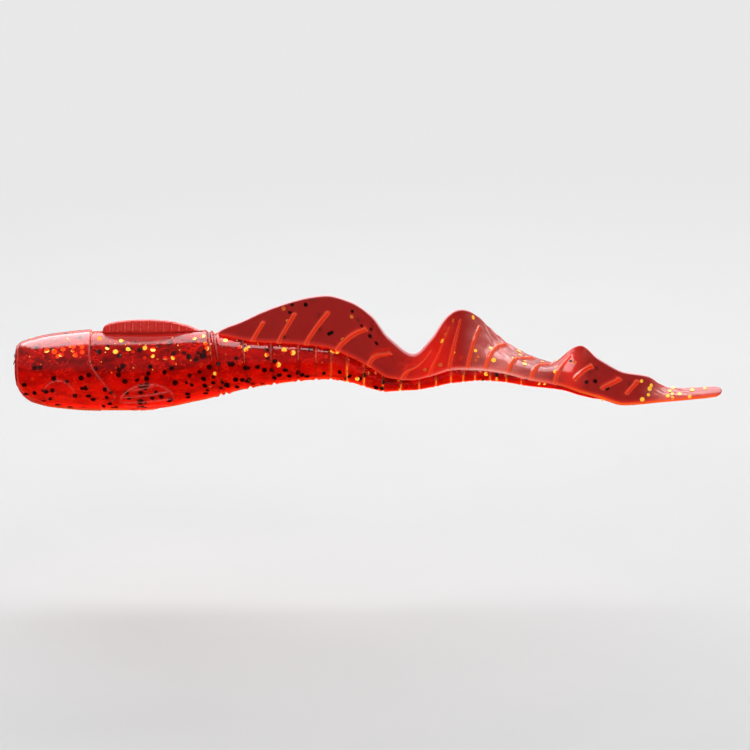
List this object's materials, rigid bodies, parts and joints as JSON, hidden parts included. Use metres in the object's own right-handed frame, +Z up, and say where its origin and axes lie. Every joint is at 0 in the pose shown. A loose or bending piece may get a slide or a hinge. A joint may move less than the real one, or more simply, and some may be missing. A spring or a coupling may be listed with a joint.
{
  "type": "soft plastic worm",
  "caption": "Ringed soft plastic fishing worm with a blunt flat nose, a low dorsal fin and a tall wavy ribbon fin along its tapering tail, jointed at its flex grooves.",
  "frame": {"origin": "centre of the flat nose face", "axes": "+X along the body from the nose to the tail tip, +Z up towards the dorsal fin and the ribbon, -Y the worm's left side"},
  "size_m": [0.1268, 0.0172, 0.0214],
  "materials": {
    "body_plastic": "gloss",
    "ribbon_plastic": "gloss",
    "fin_plastic": "gloss",
    "pad_plastic": "gloss"
  },
  "bodies": {
    "front": {"head": "body_plastic", "trunk": "body_plastic", "pectoral_pad_left": "pad_plastic", "pectoral_pad_right": "pad_plastic", "pelvic_pad_left": "pad_plastic", "pelvic_pad_right": "pad_plastic"},
    "fin": {"dorsal_fin": "fin_plastic"},
    "section_01": {"ring_01": "body_plastic", "ribbon_panel_01": "ribbon_plastic"},
    "section_02": {"ring_02": "body_plastic", "ribbon_panel_02": "ribbon_plastic"},
    "section_03": {"ring_03": "body_plastic", "ribbon_panel_03": "ribbon_plastic"},
    "section_04": {"ring_04": "body_plastic", "ring_05": "body_plastic", "ribbon_panel_04": "ribbon_plastic"},
    "section_05": {"ring_06": "body_plastic", "ring_07": "body_plastic", "ribbon_panel_05": "ribbon_plastic"},
    "section_06": {"ring_08": "body_plastic", "ring_09": "body_plastic", "ribbon_panel_06": "ribbon_plastic"},
    "section_07": {"ring_10": "body_plastic", "ring_11": "body_plastic", "ribbon_panel_07": "ribbon_plastic"},
    "section_08": {"ring_12": "body_plastic", "ring_13": "body_plastic", "ring_14": "body_plastic", "ribbon_panel_08": "ribbon_plastic"},
    "section_09": {"ring_15": "body_plastic", "ring_16": "body_plastic", "ribbon_panel_09": "ribbon_plastic"},
    "section_10": {"ring_17": "body_plastic", "tail_root": "body_plastic", "ribbon_panel_10": "ribbon_plastic"},
    "section_11": {"tail_rib": "body_plastic", "ribbon_panel_11": "ribbon_plastic"},
    "section_12": {"ribbon_panel_12": "ribbon_plastic"},
    "section_13": {"tail_tip": "ribbon_plastic"}
  },
  "joints": [
    {"name": "dorsal_fin_fold", "type": "hinge", "parent": "front", "child": "fin", "pos_m": [0.02475, 0, 0.0072], "axis": [1, 0, 0], "range_deg": [-35, 35], "stiffness_Nm_per_rad": 0.0004},
    {"name": "body_sway", "type": "hinge", "parent": "front", "child": "section_01", "pos_m": [0.0353, 0, 0.00081], "axis": [0, 0, 1], "range_deg": [-5, 5], "stiffness_Nm_per_rad": 0.02},
    {"name": "tail_lift", "type": "hinge", "parent": "section_01", "child": "section_02", "pos_m": [0.0409, 0, 0.00099], "axis": [0, -1, 0], "range_deg": [-5, 5], "stiffness_Nm_per_rad": 0.015},
    {"name": "body_sway_2", "type": "hinge", "parent": "section_02", "child": "section_03", "pos_m": [0.0459, 0, 0.00121], "axis": [0, 0, 1], "range_deg": [-7, 7], "stiffness_Nm_per_rad": 0.01},
    {"name": "tail_lift_2", "type": "hinge", "parent": "section_03", "child": "section_04", "pos_m": [0.0509, 0, 0.00139], "axis": [0, -1, 0], "range_deg": [-7, 7], "stiffness_Nm_per_rad": 0.008},
    {"name": "body_sway_3", "type": "hinge", "parent": "section_04", "child": "section_05", "pos_m": [0.0567, 0, 0.00111], "axis": [0, 0, 1], "range_deg": [-8, 8], "stiffness_Nm_per_rad": 0.006},
    {"name": "tail_lift_3", "type": "hinge", "parent": "section_05", "child": "section_06", "pos_m": [0.0626, 0, -0.00093], "axis": [0, -1, 0], "range_deg": [-8, 8], "stiffness_Nm_per_rad": 0.004},
    {"name": "tail_sway", "type": "hinge", "parent": "section_06", "child": "section_07", "pos_m": [0.0692, 0, -0.00283], "axis": [0, 0, 1], "range_deg": [-10, 10], "stiffness_Nm_per_rad": 0.002},
    {"name": "tail_lift_4", "type": "hinge", "parent": "section_07", "child": "section_08", "pos_m": [0.0755, 0, -0.00198], "axis": [0, -1, 0], "range_deg": [-9, 9], "stiffness_Nm_per_rad": 0.0015},
    {"name": "tail_sway_2", "type": "hinge", "parent": "section_08", "child": "section_09", "pos_m": [0.0825, 0, -0.001], "axis": [0, 0, 1], "range_deg": [-11, 11], "stiffness_Nm_per_rad": 0.001},
    {"name": "tail_lift_5", "type": "hinge", "parent": "section_09", "child": "section_10", "pos_m": [0.0881, 0, -0.00153], "axis": [0, -1, 0], "range_deg": [-10, 10], "stiffness_Nm_per_rad": 0.0006},
    {"name": "tail_sway_3", "type": "hinge", "parent": "section_10", "child": "section_11", "pos_m": [0.0978, 0, -0.00331], "axis": [0, 0, 1], "range_deg": [-12, 12], "stiffness_Nm_per_rad": 0.0003},
    {"name": "tail_lift_6", "type": "hinge", "parent": "section_11", "child": "section_12", "pos_m": [0.105, 0, -0.0054], "axis": [0, -1, 0], "range_deg": [-10, 10], "stiffness_Nm_per_rad": 0.00015},
    {"name": "tail_sway_4", "type": "hinge", "parent": "section_12", "child": "section_13", "pos_m": [0.1148, 0, -0.00607], "axis": [0, 0, 1], "range_deg": [-12, 12], "stiffness_Nm_per_rad": 0.0001}
  ],
  "couplings": [
    {"joint": "tail_lift_2", "follows": "tail_lift", "ratio": 1.4},
    {"joint": "tail_lift_3", "follows": "tail_lift", "ratio": 1.6},
    {"joint": "tail_lift_4", "follows": "tail_lift", "ratio": 1.8},
    {"joint": "tail_lift_5", "follows": "tail_lift", "ratio": 2},
    {"joint": "tail_lift_6", "follows": "tail_lift", "ratio": 2},
    {"joint": "body_sway_2", "follows": "body_sway", "ratio": 1.4},
    {"joint": "body_sway_3", "follows": "body_sway", "ratio": 1.6},
    {"joint": "tail_sway_2", "follows": "tail_sway", "ratio": 1.1},
    {"joint": "tail_sway_3", "follows": "tail_sway", "ratio": 1.2},
    {"joint": "tail_sway_4", "follows": "tail_sway", "ratio": 1.2}
  ]
}
